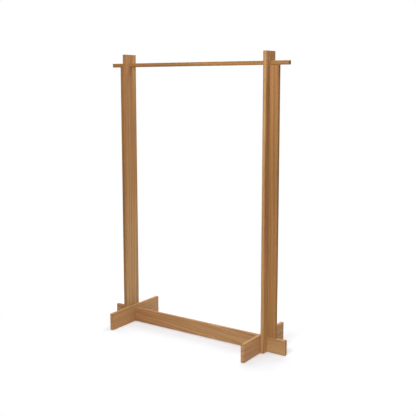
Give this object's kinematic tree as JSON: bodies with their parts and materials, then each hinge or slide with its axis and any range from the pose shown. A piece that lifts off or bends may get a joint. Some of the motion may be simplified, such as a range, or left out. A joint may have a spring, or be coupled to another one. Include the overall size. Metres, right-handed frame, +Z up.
{
  "type": "clothes rack",
  "caption": "Free-standing oak clothes rack: T-section posts on cross-lapped feet, joined by a low rail and a rectangular hanging bar through mortises.",
  "frame": {"origin": "on the floor, below the middle of the rack", "axes": "+X along the bar towards the right-hand post, +Y from front to back, +Z up"},
  "size_m": [1.2, 0.444, 1.637],
  "materials": {
    "oak": "oiled",
    "dowel": "fluted beech, raw",
    "peg": "oiled end grain",
    "bolt": "zinc plated",
    "insert": "plain",
    "felt": "pressed felt"
  },
  "bodies": {
    "root": {"base_rail": "oak", "hanging_bar": "oak", "foot_left": "oak", "foot_right": "oak", "tall_post_left": "oak", "tall_post_right": "oak", "short_post_left": "oak", "short_post_right": "oak", "post_dowels_left": "dowel", "post_dowels_right": "dowel", "foot_dowels_left": "dowel", "foot_dowels_right": "dowel", "rail_dowel_left": "dowel", "rail_dowel_right": "dowel", "bar_peg_left": "peg", "bar_peg_right": "peg", "base_bolt_left": "bolt", "base_bolt_right": "bolt", "threaded_insert_left": "insert", "threaded_insert_right": "insert", "felt_pads_left": "felt", "felt_pads_right": "felt"}
  },
  "joints": []
}
